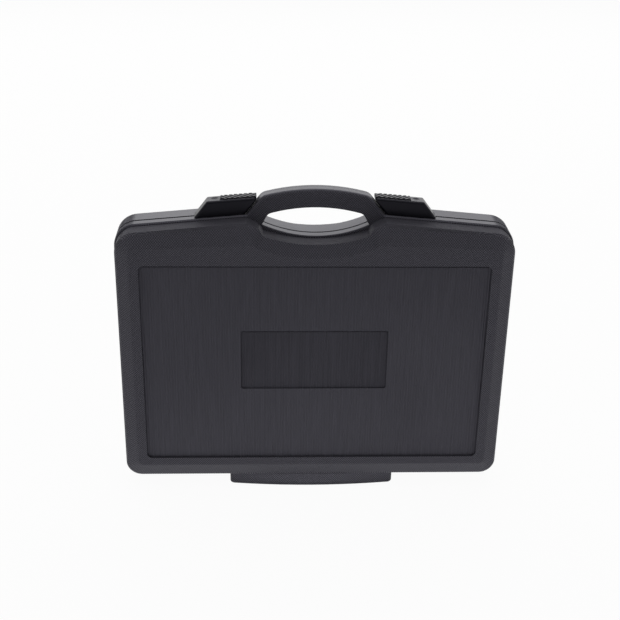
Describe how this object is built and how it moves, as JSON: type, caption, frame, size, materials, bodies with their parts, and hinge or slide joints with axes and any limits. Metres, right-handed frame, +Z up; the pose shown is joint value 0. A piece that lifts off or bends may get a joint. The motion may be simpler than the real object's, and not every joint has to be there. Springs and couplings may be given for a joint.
{
  "type": "microphone case",
  "caption": "Slim moulded carrying case for hand microphones, with a fixed loop handle, sliding latches beside it, a hinged lid and a foam-lined interior.",
  "frame": {"origin": "at the foot's underside, in the middle of the width and of the depth of the closed case; the parting plane and the hinge are 1.5 mm behind it", "axes": "+Z up from the foot to the handle, -Y out of the front face (the lid), X along the width; the lid and the latches are closed"},
  "size_m": [0.3842, 0.0694, 0.3192],
  "materials": {
    "shell": "moulded with a fine texture",
    "latch": "moulded smooth satin",
    "pin": "drawn wire",
    "foam": "open-cell foam"
  },
  "bodies": {
    "base": {"rear_shell": "shell", "hinge_pin": "pin", "hinge_pin_plugs": "latch", "base_foam_backing": "foam", "base_foam_bed": "foam", "accessory_foam_block": "foam"},
    "lid": {"front_shell": "shell", "lid_foam_backing": "foam", "lid_foam_pad": "foam"},
    "latch_left": {"latch_left": "latch"},
    "latch_right": {"latch_right": "latch"}
  },
  "joints": [
    {"name": "lid_hinge", "type": "hinge", "parent": "base", "child": "lid", "pos_m": [0, 0.0015, 0.0065], "axis": [1, 0, 0], "range_deg": [0, 110]},
    {"name": "latch_left_slide", "type": "slide", "parent": "base", "child": "latch_left", "axis": [-0.996, 0, -0.0896], "range_m": [0, 0.0075]},
    {"name": "latch_right_slide", "type": "slide", "parent": "base", "child": "latch_right", "axis": [0.996, 0, -0.0896], "range_m": [0, 0.0075]}
  ]
}
